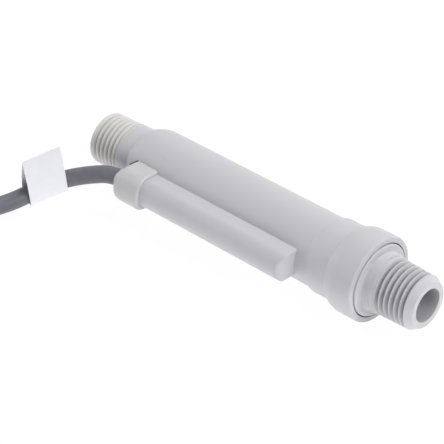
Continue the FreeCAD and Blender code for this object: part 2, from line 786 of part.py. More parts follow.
def cord_path(route):
    """Straight runs of a route joined by arcs that take the same share of the shorter run."""
    corners = [FreeCAD.Vector(*point) for point in route]
    edges = []
    radii = []
    start = corners[0]
    for before, corner, after in zip(corners, corners[1:], corners[2:]):
        setback = CORD_ARC_SHARE * min((corner - before).Length, (after - corner).Length)
        arc = corner_arc(before, corner, after, setback)
        edges.append(Part.LineSegment(start, arc.StartPoint).toShape())
        bend = arc.toShape()
        edges.append(bend)
        radii.append(round(bend.Curve.Radius, 1))
        start = arc.EndPoint
    edges.append(Part.LineSegment(start, corners[-1]).toShape())
    path = Part.Wire(edges)
    print("cord run of", round(path.Length, 1), "with bend radii", radii)
    return path


# Spring from the back of the piston to the floor of the fitting's pocket, in four arcs to each turn
spring_start = number(PISTON_END + " + spring_gap + wire_radius")
spring_end = number(POCKET_FLOOR + " - spring_gap - wire_radius")
spring_quarters = 4 * int(number("spring_turns"))
QUARTER_TURN = math.pi / 2


def spring_point(quarter, radius):
    """A place at a radius round the spring's axis, counted in quarter turns from its start."""
    turn = quarter * QUARTER_TURN
    along = spring_start + (spring_end - spring_start) * quarter / spring_quarters
    return FreeCAD.Vector(along, radius * math.cos(turn), radius * math.sin(turn))


spring_radius = number(SPRING_RADIUS)
corner_radius = spring_radius / math.cos(QUARTER_TURN / 2)
spring_arcs = []
for quarter in range(spring_quarters):
    touch = spring_point(quarter, spring_radius)
    corner = spring_point(quarter + 0.5, corner_radius)
    next_touch = spring_point(quarter + 1, spring_radius)
    spring_arcs.append(corner_arc(touch, corner, next_touch, (corner - touch).Length).toShape())
spring_path = Part.Wire(spring_arcs)
wire_ring = ring_at_start(spring_path, number("wire_radius"))
wire_sides = int(number("wire_sides"))
wire_corners = [wire_ring.value(2 * math.pi * side / wire_sides) for side in range(wire_sides)]
return_spring = tube("return_spring", spring_path, Part.makePolygon(wire_corners + wire_corners[:1]))


# Cable as it is laid out at the body, and its last stretch beyond the coil
def cable(name, route):
    """A stretch of the jacketed cable along its route."""
    path = cord_path(route)
    return tube(name, path, Part.Wire(ring_at_start(path, number("cable_radius")).toShape()))


cable_lead = cable("cable_lead", LEAD_ROUTE)
cable_tail = cable("cable_tail", TAIL_ROUTE)

# Coil of the put-away cable, two turns wide and two high, lifted by its tie
COIL_BOTTOM = "tie_thickness + tie_gap - socket_radius"
COIL_TOP = COIL_BOTTOM + " + 4 * cable_radius"
COIL_INSIDE = "coil_turn_radius - 2 * cable_radius"
COIL_OUTSIDE = "coil_turn_radius + 2 * cable_radius"
COIL_ACROSS = "%g" % LEAD_ROUTE[-1][0]
COIL_ALONG = "%g + coil_turn_radius + cable_radius" % LEAD_ROUTE[-1][1]
cable_coil = new_body("cable_coil")
turned(cable_coil, [
    (COIL_INSIDE + " + coil_corner", COIL_BOTTOM),
    (COIL_OUTSIDE + " - coil_corner", COIL_BOTTOM),
    (COIL_OUTSIDE, COIL_BOTTOM + " + coil_corner"),
    (COIL_OUTSIDE, COIL_TOP + " - coil_corner"),
    (COIL_OUTSIDE + " - coil_corner", COIL_TOP),
    (COIL_INSIDE + " + coil_corner", COIL_TOP),
    (COIL_INSIDE, COIL_TOP + " - coil_corner"),
    (COIL_INSIDE, COIL_BOTTOM + " + coil_corner"),
], role="XZ_Plane", axis="V_Axis")
place(cable_coil, x=COIL_ACROSS, y=COIL_ALONG)


def tie_loop(grown):
    """The tie's loop on (y, z) round the coil's section, grown by a formula."""
    near = "-(%s) + %s" % (COIL_INSIDE, grown)
    far = "-(%s) - (%s)" % (COIL_OUTSIDE, grown)
    low = "%s - (%s)" % (COIL_BOTTOM, grown)
    high = "%s + %s" % (COIL_TOP, grown)
    return [
        (near + " - coil_corner", low),
        (near, low + " + coil_corner"),
        (near, high + " - coil_corner"),
        (near + " - coil_corner", high),
        (far + " + coil_corner", high),
        (far, high + " - coil_corner"),
        (far, low + " + coil_corner"),
        (far + " + coil_corner", low),
    ]


# Tie round the coil's turns, just past where the cable comes in
coil_tie = new_body("coil_tie")
tie_outside = new_sketch(coil_tie, "YZ_Plane", "tie_outside")
lift(tie_outside, "-tie_width / 2")
outline(tie_outside, tie_loop("tie_gap + tie_thickness"))
pad(coil_tie, tie_outside, "tie_width", "tie_band")
tie_inside = new_sketch(coil_tie, "YZ_Plane", "tie_inside")
lift(tie_inside, "-tie_width / 2")
outline(tie_inside, tie_loop("tie_gap"))
pocket(coil_tie, tie_inside, "tie_width", "tie_opening")
coil_tie.Placement = FreeCAD.Placement(FreeCAD.Vector(), FreeCAD.Rotation(FreeCAD.Vector(0, 0, 1), TIE_TURN))
place(coil_tie, x=COIL_ACROSS, y=COIL_ALONG)

# Stripped end of the cable: two cores that spread on the surface, each with a tinned tip
tail_end = FreeCAD.Vector(*TAIL_ROUTE[-1])
tail_way = (tail_end - FreeCAD.Vector(*TAIL_ROUTE[-2])).normalize()
tail_side = FreeCAD.Vector(0, 0, 1).cross(tail_way)


def stripped_core(name, side):
    """One core with its tip, on one side of the cable's end."""
    length = number("tail_core_length")
    spread = math.tan(math.radians(number("tail_core_splay"))) * length
    start = tail_end + tail_way * number("tail_core_gap") + tail_side * (side * number("tail_core_spacing"))
    end = start + tail_way * length + tail_side * (side * spread)
    end.z = number("core_radius - socket_radius")
    way = (end - start).normalize()
    core = doc.addObject("Part::Cylinder", "tail_%s_core" % name)
    core.Label = "tail_%s_core" % name
    bind(core, Radius="core_radius")
    core.Height = (end - start).Length
    core.Placement = FreeCAD.Placement(start, FreeCAD.Rotation(FreeCAD.Vector(0, 0, 1), way))
    tip = doc.addObject("Part::Cylinder", "tail_%s_tip" % name)
    tip.Label = "tail_%s_tip" % name
    bind(tip, Radius="tail_tip_radius", Height="tail_tip_length")
    tip_way = FreeCAD.Vector(way.x, way.y, 0)
    tip_start = end + way * number("tail_core_gap")
    tip.Placement = FreeCAD.Placement(tip_start, FreeCAD.Rotation(FreeCAD.Vector(0, 0, 1), tip_way))
    return [core, tip]


stripped_cores = stripped_core("supply", 1) + stripped_core("signal", -1)


def label_outline(radius):
    """A teardrop on (y, z): a loop of one radius whose flanks run up to a shared edge."""
    across = "(%s) * label_flank_reach" % radius
    height = "(%s) * label_flank_rise" % radius
    return [
        ("0", "(%s) / label_flank_rise" % radius),
        (across, height, "leaves"),
        ("-" + across, height),
    ]


# Blank flag label: a strip wrapped round the cable, whose two ends meet above it
cable_label = new_body("cable_label")
label_outside = new_sketch(cable_label, "YZ_Plane", "label_outside")
lift(label_outside, "-label_length / 2")
outline(label_outside, label_outline("label_loop_radius"))
pad(cable_label, label_outside, "label_length", "label_strip")
label_inside = new_sketch(cable_label, "YZ_Plane", "label_inside")
lift(label_inside, "-label_length / 2")
outline(label_inside, label_outline("label_loop_radius - label_thickness"))
pocket(cable_label, label_inside, "label_length", "label_opening")
label_turn = FreeCAD.Rotation(FreeCAD.Vector(0, 0, 1), LABEL_HEADING)
label_tilt = FreeCAD.Rotation(FreeCAD.Vector(0, 1, 0), LABEL_DIP)
label_lean = FreeCAD.Rotation(FreeCAD.Vector(1, 0, 0), LABEL_LEAN)
cable_label.Placement = FreeCAD.Placement(FreeCAD.Vector(*LABEL_PLACE), label_turn * label_tilt * label_lean)
doc.recompute()

# Check every object, then write one file for each sub-part
for item in doc.Objects:
    if "Invalid" in item.State or "Error" in item.State:
        raise RuntimeError(item.Label + " failed: " + ", ".join(item.State))
SUB_PARTS = [
    switch_body, outlet_fitting, outlet_o_ring,
    piston, piston_magnet, magnet_retainer, return_spring,
    cable_cap, potting_compound, reed_glass, reed_blade_inlet, reed_blade_outlet, return_lead_sleeve,
    supply_splice, signal_splice, supply_core, signal_core,
    cable_lead, cable_coil, coil_tie, cable_tail, cable_label,
] + stripped_cores
for item in SUB_PARTS:
    if item.Shape.isNull() or not item.Shape.isValid():
        raise RuntimeError(item.Label + " has no valid shape")
os.makedirs("parts", exist_ok=True)
for item in SUB_PARTS:
    item.Shape.exportStep("parts/%s.step" % item.Label)
    print(item.Label, "solids", len(item.Shape.Solids), "volume", round(item.Shape.Volume, 2))
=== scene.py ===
import math

import bmesh
import bpy
from mathutils import Matrix, Vector


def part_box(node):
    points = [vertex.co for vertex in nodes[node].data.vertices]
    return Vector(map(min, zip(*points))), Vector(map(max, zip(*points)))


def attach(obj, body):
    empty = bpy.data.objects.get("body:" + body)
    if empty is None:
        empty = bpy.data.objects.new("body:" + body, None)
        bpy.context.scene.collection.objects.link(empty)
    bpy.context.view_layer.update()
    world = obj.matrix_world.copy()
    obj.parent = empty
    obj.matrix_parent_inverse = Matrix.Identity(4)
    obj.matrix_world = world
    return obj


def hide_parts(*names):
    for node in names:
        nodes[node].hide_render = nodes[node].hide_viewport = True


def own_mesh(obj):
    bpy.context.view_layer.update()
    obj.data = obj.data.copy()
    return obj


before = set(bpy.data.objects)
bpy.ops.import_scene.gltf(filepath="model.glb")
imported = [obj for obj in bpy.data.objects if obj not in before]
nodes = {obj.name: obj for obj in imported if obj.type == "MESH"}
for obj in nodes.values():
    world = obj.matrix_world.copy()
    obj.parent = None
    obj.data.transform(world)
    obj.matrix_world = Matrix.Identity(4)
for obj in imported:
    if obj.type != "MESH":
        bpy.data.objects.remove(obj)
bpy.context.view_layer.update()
MM = 0.001

# Places read from the model
inlet_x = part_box("switch_body")[0].x
outlet_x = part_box("outlet_fitting")[1].x
ground_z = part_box("coil_tie")[0].z

# How closely lengths and angles are judged
CUT_TOLERANCE = 1e-7
TOUCHING = 1e-6
THREAD_MERGE = 2e-6
RIM_TOLERANCE = 1e-5
FLAT_ANGLE = math.radians(0.2)
SHARP_ANGLE = math.radians(35)

# Switch rail: its mouth, closed end, root at the tube and side
RAIL_MOUTH = inlet_x + 17.3 * MM
RAIL_END = inlet_x + 69.3 * MM
RAIL_ROOT = -8.05 * MM
RAIL_FACE = -14.25 * MM
# Its side as two quarter ellipses: the height at which they meet, and the inset and height of each
RAIL_BELLY = -0.45 * MM
RAIL_TOP_CURVE = (2.9 * MM, 3.95 * MM)
RAIL_LOW_CURVE = (2.0 * MM, 3.1 * MM)
# The faces that count as its flat side, and the rows of corners that the curve needs there
RAIL_SIDE_FACING = -0.999
RAIL_SIDE_SLACK = 0.01 * MM
RAIL_ROWS = 7
RAIL_TOP_ROW = 0.35 * MM
RAIL_ROW_STEP = 0.25 * MM
# Its curve grows from the cap's rim on, and the edges of its closed end are rounded
RAIL_GROWS = 2 * MM
RAIL_GROWTH_CUTS = (0.1 * MM, 1.0 * MM, 2.0 * MM)
RAIL_END_REACH = 1.75 * MM
RAIL_END_ROUND = 0.35 * MM
RAIL_END_ANGLE = math.radians(25)

# Cap: its rim, how far its top drops at the cable's end and over what length, and the cuts for that
CAP_RIM = inlet_x + 24.9 * MM
CAP_DROP = 1.05 * MM
CAP_BENT = 3.0 * MM
CAP_CUTS = (16.3 * MM, 16.8 * MM, 17.25 * MM, 17.8 * MM, 18.8 * MM)
# Heights at which the drop begins, in the cap's end wall and over the rail, and at which it is full
CAP_WALL_LOW = 1.6 * MM
CAP_ROOF_LOW = 3.6 * MM
CAP_TOP = 3.9 * MM

# Label: its place on the cable, the cable's way there, its own upward way, height, bow, skew and rows
LABEL_PLACE = Vector((1.1, -22.55, -4.6)) * MM
LABEL_AXIS = Vector((-0.421, -0.86, -0.289))
LABEL_UP = Vector((0.157, -0.383, 0.91))
LABEL_SIDE = LABEL_AXIS.cross(LABEL_UP)
LABEL_TIP = 12.5 * MM
LABEL_BOW = 0.35 * MM
LABEL_SKEW = 1.4 * MM
LABEL_ROWS = 9

# Taper thread, 18 turns to the inch
THREAD_PITCH = 25.4 / 18 * MM
THREAD_END_RADIUS = 6.63 * MM
THREAD_TAPER = 1 / 32
PORT_RADIUS = 4.15 * MM
PORT_LIP = 0.15 * MM
PORT_LIP_STEP = 0.04 * MM
FACE_ROUND = 0.12 * MM
# The gap bridged between a part and its new thread, and a radius beyond both threaded parts
SKIN_GAP = 0.2 * MM
PAST_BODY = 20 * MM
TURN_STEPS = 96
# One pitch of each thread's outline: share of the pitch, depth
SHARP_THREAD = [
    (0.0, 0.0), (0.05, 0.02 * MM), (0.11, 0.09 * MM), (0.43, 0.85 * MM), (0.5, 0.92 * MM), (0.57, 0.85 * MM),
    (0.89, 0.09 * MM), (0.95, 0.02 * MM), (1.0, 0.0),
]
WORN_THREAD = [
    (0.0, 0.0), (0.14, 0.01 * MM), (0.23, 0.07 * MM), (0.41, 0.47 * MM), (0.5, 0.55 * MM), (0.59, 0.47 * MM),
    (0.77, 0.07 * MM), (0.86, 0.01 * MM), (1.0, 0.0),
]

# Cable: its radius, then the route of its solids and the coil's turns, these in millimetres and degrees
CABLE_RADIUS = 2.2 * MM
LEAD_ROUTE = [
    (18.5, -11.4, 0.0), (13.4, -11.4, 0.0), (7.8, -14.0, -1.6), (3.0, -18.6, -3.2),
    (-0.1, -24.7, -5.4), (-2.4, -32.0, -7.2), (-6.5, -39.5, -8.1), (-13.2, -46.1, -8.2),
    (-21.4, -50.4, -8.2), (-30.2, -53.3, -8.1), (-39.4, -54.6, -7.95), (-48.5, -54.8, -7.8),
]
TAIL_ROUTE = [
    (-65.6, -47.7, -3.4), (-70.1, -42.6, -3.4), (-74.4, -36.6, -4.4),
    (-77.2, -29.6, -6.8), (-78.0, -22.2, -8.3), (-77.7, -15.0, -8.4),
]
COIL_CENTRE = (-48.5, -30.6)
COIL_OUTER = 24.2
COIL_INNER = 19.75
COIL_LOW = -7.8
COIL_HIGH = -3.4
COIL_STEP = 22.5
COIL_START = -90.0
COIL_END = 1125.0
# Degrees between which the turns move inwards, up to the second layer, and outwards again
COIL_INWARDS = (300, 360)
COIL_UPWARDS = (600, 660)
COIL_OUTWARDS = (900, 960)


# Mesh helpers
def smooth_share(value, start, end):
    """0 before start, 1 after end, and a smooth rise between them."""
    share = min(max((value - start) / (end - start), 0.0), 1.0)
    return share * share * (3 - 2 * share)


def finish_mesh(name, shape, material):
    """A named object from a bmesh, smooth but for its sharp edges, riding on the housing."""
    for face in shape.faces:
        face.smooth = True
    for edge in shape.edges:
        edge.smooth = len(edge.link_faces) != 2 or edge.calc_face_angle() < SHARP_ANGLE
    mesh = bpy.data.meshes.new(name)
    shape.to_mesh(mesh)
    shape.free()
    if mesh.has_custom_normals:
        mesh.attributes.remove(mesh.attributes["custom_normal"])
    piece = bpy.data.objects.new(name, mesh)
    bpy.context.scene.collection.objects.link(piece)
    mesh.materials.append(material)
    weighted = piece.modifiers.new("weighted_normals", "WEIGHTED_NORMAL")
    weighted.mode = "FACE_AREA_WITH_ANGLE"
    weighted.keep_sharp = True
    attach(piece, "housing")
    return piece


def merged_copy(node):
    """A bmesh of a CAD node with its loose triangles joined."""
    shape = bmesh.new()
    shape.from_mesh(nodes[node].data)
    shape.verts.layers.float.new("groove")
    bmesh.ops.remove_doubles(shape, verts=shape.verts, dist=TOUCHING)
    bmesh.ops.dissolve_limit(
        shape, angle_limit=FLAT_ANGLE, use_dissolve_boundaries=False, verts=shape.verts,
        edges=shape.edges, delimit=set())
    return shape


def everything(shape):
    """All corners, edges and faces of a shape."""
    return list(shape.verts) + list(shape.edges) + list(shape.faces)


def add_row(shape, place, facing):
    """A row of new corners all round a shape, where a plane through a place cuts it."""
    bmesh.ops.bisect_plane(
        shape, geom=everything(shape), dist=CUT_TOLERANCE, plane_co=place, plane_no=facing)


def cut_away(shape, place, way):
    """Take away what lies beyond a place along X, towards way (-1 or 1)."""
    bmesh.ops.bisect_plane(
        shape, geom=everything(shape), dist=CUT_TOLERANCE, plane_co=(place, 0, 0), plane_no=(way, 0, 0),
        clear_outer=True)


def open_rim(shape, place, low, high):
    """The open edges at a place along X, between two distances from the axis."""
    rim = []
    for edge in shape.edges:
        middle = (edge.verts[0].co + edge.verts[1].co) / 2
        distance = math.hypot(middle.y, middle.z)
        if edge.is_boundary and abs(middle.x - place) < RIM_TOLERANCE and low < distance < high:
            rim.append(edge)
    return rim


def carry_rim(shape, rim, place, radius):
    """Extrude an open rim to a circle further on."""
    grown = bmesh.ops.extrude_edge_only(shape, edges=rim)["geom"]
    fresh = set(item for item in grown if isinstance(item, bmesh.types.BMVert))
    for vert in fresh:
        share = radius / math.hypot(vert.co.y, vert.co.z)
        vert.co = (place, vert.co.y * share, vert.co.z * share)
    return [item for item in grown if isinstance(item, bmesh.types.BMEdge) and set(item.verts) <= fresh]


def belly_rail(shape):
    """Turn the flat side of the switch rail into a full curve."""
    for cut in RAIL_GROWTH_CUTS:
        add_row(shape, (CAP_RIM + cut, 0, 0), (1, 0, 0))
    flat = [
        face for face in shape.faces
        if face.normal.y < RAIL_SIDE_FACING and abs(face.calc_center_median().y - RAIL_FACE) < RAIL_SIDE_SLACK
    ]
    geometry = set(flat)
    for face in flat:
        geometry.update(face.edges)
        geometry.update(face.verts)
    for step in range(RAIL_ROWS):
        level = RAIL_TOP_ROW - RAIL_ROW_STEP * step
        cut = bmesh.ops.bisect_plane(
            shape, geom=list(geometry), dist=CUT_TOLERANCE, plane_co=(0, 0, level), plane_no=(0, 0, 1))
        geometry.update(cut["geom"])
        geometry.update(cut["geom_cut"])
    for vert in shape.verts:
        height = vert.co.z - RAIL_BELLY
        inset, reach = RAIL_TOP_CURVE if height > 0 else RAIL_LOW_CURVE
        straight = reach - inset
        on_side = vert.co.y <= RAIL_FACE + inset + TOUCHING and abs(height) <= reach
        if not on_side or vert.co.x < RAIL_MOUTH - TOUCHING:
            continue
        bend = max(abs(height) - straight, 0)
        before = inset - math.sqrt(max(inset * inset - bend * bend, 0))
        after = inset - inset * math.sqrt(1 - (height / reach) ** 2)
        vert.co.y += (after - before) * smooth_share(vert.co.x, CAP_RIM, CAP_RIM + RAIL_GROWS)


def soften_rail_end(shape):
    """Round the edges of the switch rail's closed end."""
    picked = []
    for edge in shape.edges:
        first, second = (vert.co for vert in edge.verts)
        past_start = min(first.x, second.x) > RAIL_END - RAIL_END_REACH
        at_end = past_start and max(first.x, second.x) < RAIL_END + TOUCHING
        on_rail = max(first.y, second.y) < RAIL_ROOT
        if at_end and on_rail and edge.is_convex and edge.calc_face_angle() > RAIL_END_ANGLE:
            picked.append(edge)
    bmesh.ops.bevel(
        shape, geom=picked, offset=RAIL_END_ROUND, segments=3, profile=0.5, affect="EDGES", material=-1,
        clamp_overlap=False)


def helical_skin(start, end, outline, groove, crest, fade):
    """The skin of a right-hand thread round X, from start to end, with a groove at a place on its +Z side."""
    shape = bmesh.new()
    turns = math.ceil((end - start) / THREAD_PITCH) + 3
    reference = THREAD_END_RADIUS
    first = groove - THREAD_PITCH / 2
    first -= math.ceil((first - start) / THREAD_PITCH + 1.01) * THREAD_PITCH
    chain = [
        shape.verts.new((first + along * THREAD_PITCH, 0, reference - deep))
        for along, deep in outline
    ]
    edges = [shape.edges.new(pair) for pair in zip(chain, chain[1:])]
    bmesh.ops.spin(
        shape, geom=chain + edges, cent=(0, 0, 0), axis=(1, 0, 0), dvec=(THREAD_PITCH / TURN_STEPS, 0, 0),
        angle=2 * math.pi * turns, steps=TURN_STEPS * turns, use_merge=False, use_duplicate=False)
    bmesh.ops.remove_doubles(shape, verts=shape.verts, dist=THREAD_MERGE)
    cut_away(shape, start, -1)
    cut_away(shape, end, 1)
    groove_layer = shape.verts.layers.float.new("groove")
    deepest = max(deep for _, deep in outline)
    for vert in shape.verts:
        radius = math.hypot(vert.co.y, vert.co.z)
        deep = (reference - radius) * fade(vert.co.x)
        vert[groove_layer] = deep / deepest
        share = (crest(vert.co.x) - deep) / radius
        vert.co.y *= share
        vert.co.z *= share
    mesh = bpy.data.meshes.new("thread_skin")
    shape.to_mesh(mesh)
    shape.free()
    return mesh


def add_thread(shape, end_face, way, outline, lead_in, root, groove, fade_root, fade_end):
    """Cut a part's plain threaded end away at root and put a threaded one there, open port and all.

    way is the way that the end faces along X, lead_in the length and height of the cone at the end, and the
    fades are the stretches where the grooves run out.
    """
    def crest(place):
        return THREAD_END_RADIUS + THREAD_TAPER * abs(end_face - place)

    def fade(place):
        depth = abs(end_face - place)
        return smooth_share(depth, *fade_end) * (1 - smooth_share(depth, *fade_root))

    lead = end_face - way * lead_in[0]
    face_radius = THREAD_END_RADIUS - lead_in[1]
    skin_root = root + way * SKIN_GAP
    cut_away(shape, root, way)
    skin = helical_skin(min(lead, skin_root), max(lead, skin_root), outline, groove, crest, fade)
    shape.from_mesh(skin)
    bpy.data.meshes.remove(skin)
    between = (PORT_RADIUS + face_radius) / 2
    part_rim = open_rim(shape, root, between, PAST_BODY)
    skin_rim = open_rim(shape, skin_root, between, PAST_BODY)
    bmesh.ops.bridge_loops(shape, edges=part_rim + skin_rim)
    rim = open_rim(shape, lead, between, PAST_BODY)
    cone_end = face_radius + FACE_ROUND * lead_in[1] / lead_in[0]
    rim = carry_rim(shape, rim, end_face - way * FACE_ROUND, cone_end)
    rim = carry_rim(shape, rim, end_face, face_radius - FACE_ROUND / 2)
    rim = carry_rim(shape, rim, end_face, PORT_RADIUS + PORT_LIP)
    rim = carry_rim(shape, rim, end_face - way * PORT_LIP_STEP, PORT_RADIUS + PORT_LIP_STEP)
    rim = carry_rim(shape, rim, end_face - way * PORT_LIP, PORT_RADIUS)
    bmesh.ops.bridge_loops(shape, edges=rim + open_rim(shape, root, 0, between))
    bmesh.ops.recalc_face_normals(shape, faces=shape.faces)


# Materials: the share of a dark line's radius at which it is strongest (the lines are painted shade and
# scuffs), and the length over which a stain ends
SHADE_AND_MARK_CORE = 0.4
STAIN_FADE = 0.4 * MM


class Finish:
    """A material's node tree, with short calls to add to it."""

    def __init__(self, name):
        self.material = bpy.data.materials.new(name)
        self.material.use_nodes = True
        self.tree = self.material.node_tree
        self.shader = self.tree.nodes["Principled BSDF"]
        self.coords = self.tree.nodes.new("ShaderNodeTexCoord")

    def add(self, kind, **values):
        node = self.tree.nodes.new(kind)
        for key, value in values.items():
            setattr(node, key, value)
        return node

    def link(self, start, end):
        self.tree.links.new(start, end)

    def fill(self, socket, value):
        """Give a socket another node's output, or a plain value, with a colour made opaque."""
        if hasattr(value, "is_output"):
            self.link(value, socket)
        elif isinstance(value, tuple) and len(value) == 3:
            socket.default_value = (*value, 1)
        else:
            socket.default_value = value

    def noise(self, size, detail=3.0, stretch=None):
        """Noise whose features are about size metres across, drawn out along X, Y or Z by stretch."""
        node = self.add("ShaderNodeTexNoise")
        node.inputs["Scale"].default_value = 1 / size
        node.inputs["Detail"].default_value = detail
        if stretch:
            mapping = self.add("ShaderNodeMapping")
            mapping.inputs["Scale"].default_value = stretch
            self.link(self.coords.outputs["Object"], mapping.inputs["Vector"])
            self.link(mapping.outputs["Vector"], node.inputs["Vector"])
        else:
            self.link(self.coords.outputs["Object"], node.inputs["Vector"])
        return node.outputs["Fac"]

    def mix(self, share, first, second):
        node = self.add("ShaderNodeMix", data_type="RGBA")
        self.fill(node.inputs[0], share)
        self.fill(node.inputs[6], first)
        self.fill(node.inputs[7], second)
        return node.outputs[2]

    def between(self, source, low, high):
        """A grey source turned into a number from low to high."""
        node = self.add("ShaderNodeMapRange")
        node.inputs["To Min"].default_value = low
        node.inputs["To Max"].default_value = high
        self.link(source, node.inputs["Value"])
        return node.outputs["Result"]

    def near_line(self, start, end, radius):
        """One on and close to a straight line from start to end, falling to nothing at radius from it."""
        way = Vector(end) - Vector(start)
        length = way.length
        way.normalize()
        offset = self.add("ShaderNodeVectorMath", operation="SUBTRACT")
        offset.inputs[1].default_value = start
        self.link(self.coords.outputs["Object"], offset.inputs[0])
        along = self.add("ShaderNodeVectorMath", operation="DOT_PRODUCT")
        along.inputs[1].default_value = way
        self.link(offset.outputs[0], along.inputs[0])
        within = self.add("ShaderNodeClamp")
        within.inputs["Max"].default_value = length
        self.link(along.outputs["Value"], within.inputs["Value"])
        foot = self.add("ShaderNodeVectorMath", operation="SCALE")
        foot.inputs[0].default_value = way
        self.link(within.outputs[0], foot.inputs["Scale"])
        gap = self.add("ShaderNodeVectorMath", operation="DISTANCE")
        self.link(offset.outputs[0], gap.inputs[0])
        self.link(foot.outputs[0], gap.inputs[1])
        near = self.add("ShaderNodeMapRange")
        near.inputs["From Min"].default_value = radius
        near.inputs["From Max"].default_value = SHADE_AND_MARK_CORE * radius
        self.link(gap.outputs["Value"], near.inputs["Value"])
        return near.outputs["Result"]

    def bump(self, source, height, onto=None):
        node = self.add("ShaderNodeBump")
        node.inputs["Strength"].default_value = 1.0
        node.inputs["Distance"].default_value = height
        self.link(source, node.inputs["Height"])
        if onto:
            self.link(onto, node.inputs["Normal"])
        return node.outputs["Normal"]

    def set(self, **values):
        for key, value in values.items():
            self.fill(self.shader.inputs[key.replace("_", " ")], value)
        return self.material


def moulded_plastic(name, color, warm, texture, groove_shade_share=0.3, lumps=0.0, stained=None, shade_and_marks=()):
    """Glass-filled grey moulding: faint mottling, drawn-out flow lines and a fine moulded skin.

    Its arguments after the texture are how dark the painted shade in the thread's grooves gets, the height of
    unevenness in the skin, a place along X before which a used thread has gone beige, and the dark lines on
    it, painted shade and scuffs, each as its two ends, its radius and its strength.
    """
    finish = Finish(name)
    cloud = finish.noise(9 * MM, detail=2)
    flow = finish.noise(2.2 * MM, detail=3, stretch=(0.25, 1, 1))
    speck = finish.noise(0.35 * MM, detail=2)
    tone = finish.mix(finish.between(cloud, 0, 1), color, warm)
    tone = finish.mix(finish.between(flow, 0, 0.1), tone, tuple(0.8 * part for part in color))
    if stained:
        along = finish.add("ShaderNodeSeparateXYZ")
        finish.link(finish.coords.outputs["Object"], along.inputs[0])
        stain = finish.add("ShaderNodeMapRange")
        stain.inputs["From Min"].default_value = stained + STAIN_FADE
        stain.inputs["From Max"].default_value = stained
        finish.link(along.outputs["X"], stain.inputs["Value"])
        tone = finish.mix(stain.outputs["Result"], tone, STAINED_BEIGE)
    # Painted shade in the thread's grooves, darker where they are deeper
    groove = finish.add("ShaderNodeAttribute", attribute_name="groove")
    groove_shade_tone = tuple(0.35 * part for part in color)
    tone = finish.mix(finish.between(groove.outputs["Fac"], 0, groove_shade_share), tone, groove_shade_tone)
    # Dark lines: painted shade in gaps and in the bore, and scuffs
    for start, end, radius, strength in shade_and_marks:
        shade_and_mark = finish.between(finish.near_line(start, end, radius), 0, strength)
        tone = finish.mix(shade_and_mark, tone, SHADE_AND_MARK_BLACK)
    skin = finish.bump(speck, texture)
    if lumps:
        uneven = finish.noise(2.4 * MM, detail=2)
        skin = finish.bump(uneven, lumps, onto=skin)
        patches = finish.noise(1.3 * MM, detail=3)
        tone = finish.mix(finish.between(patches, -1.8, 2.0), tone, PATCH_BEIGE)
    skin = finish.bump(flow, 2.5 * texture, onto=skin)
    return finish.set(
        Base_Color=tone, Roughness=finish.between(flow, 0.42, 0.56), Specular_IOR_Level=0.45, Normal=skin)


BODY_GREY = (0.585, 0.585, 0.625)
BODY_WARM = (0.61, 0.605, 0.625)
STAINED_BEIGE = (0.715, 0.705, 0.675)
PATCH_BEIGE = (0.6, 0.59, 0.55)
# Black of the dark lines, for painted shade and scuffs
SHADE_AND_MARK_BLACK = (0.02, 0.02, 0.02)
# Dark lines: painted shade in the gap between cap and shoulder, and a scuff on the tube
CAP_GAP_SHADE = (Vector((15.7, -8.15, 2.2)) * MM, Vector((17.95, -7.82, 4.05)) * MM, 0.36 * MM, 0.95)
TUBE_SCUFF = (Vector((23.9, -5.72, 6.7)) * MM, Vector((25.4, -5.6, 6.82)) * MM, 0.26 * MM, 0.07)
# Painted shade in the outlet's bore, darker on the upper part of its wall: a line in the bore, clear of the
# thread outside
BORE_SHADE = (
    Vector((outlet_x - 2.8 * MM, 1.41 * MM, 0.51 * MM)), Vector((outlet_x - 30 * MM, 1.41 * MM, 0.51 * MM)),
    4.2 * MM, 0.8)
# The threads' grooves get painted shade, stronger on the fitting
body_plastic = moulded_plastic(
    "body_plastic", BODY_GREY, BODY_WARM, 0.006 * MM, groove_shade_share=0.45, stained=inlet_x + 9.2 * MM,
    shade_and_marks=(CAP_GAP_SHADE, TUBE_SCUFF))
fitting_plastic = moulded_plastic(
    "fitting_plastic", (0.6, 0.6, 0.635), BODY_WARM, 0.006 * MM, groove_shade_share=0.55, shade_and_marks=(BORE_SHADE,))
cap_plastic = moulded_plastic(
    "cap_plastic", (0.59, 0.59, 0.625), (0.62, 0.617, 0.63), 0.03 * MM, lumps=0.45 * MM)


def cable_jacket_finish():
    """Dark grey jacket with faint scuffs and a fine grain."""
    finish = Finish("cable_jacket")
    scuff = finish.noise(1.6 * MM, detail=4)
    grain = finish.noise(0.25 * MM, detail=2)
    tone = finish.mix(finish.between(scuff, 0, 1), (0.115, 0.115, 0.14), (0.175, 0.175, 0.205))
    return finish.set(
        Base_Color=tone, Roughness=finish.between(scuff, 0.36, 0.52), Specular_IOR_Level=0.5,
        Normal=finish.bump(grain, 0.008 * MM))


def label_finish():
    """White coated label stock with a hint of fibre."""
    finish = Finish("label_stock")
    fibre = finish.noise(0.5 * MM, detail=4)
    haze = finish.noise(4 * MM, detail=2)
    tone = finish.mix(finish.between(haze, 0, 1), (0.8, 0.8, 0.85), (0.86, 0.86, 0.9))
    return finish.set(
        Base_Color=tone, Roughness=finish.between(fibre, 0.45, 0.6), Normal=finish.bump(fibre, 0.006 * MM))


def simple_finish(name, color, rough, metal=0.0, grain=0.3 * MM, depth=0.004 * MM, **more):
    """A finish of one colour with its own fine grain."""
    finish = Finish(name)
    fleck = finish.noise(grain, detail=3)
    tone = finish.mix(finish.between(fleck, 0, 1), tuple(0.86 * part for part in color), color)
    return finish.set(
        Base_Color=tone, Roughness=finish.between(fleck, 0.85 * rough, min(1.15 * rough, 1)), Metallic=metal,
        Normal=finish.bump(fleck, depth), **more)


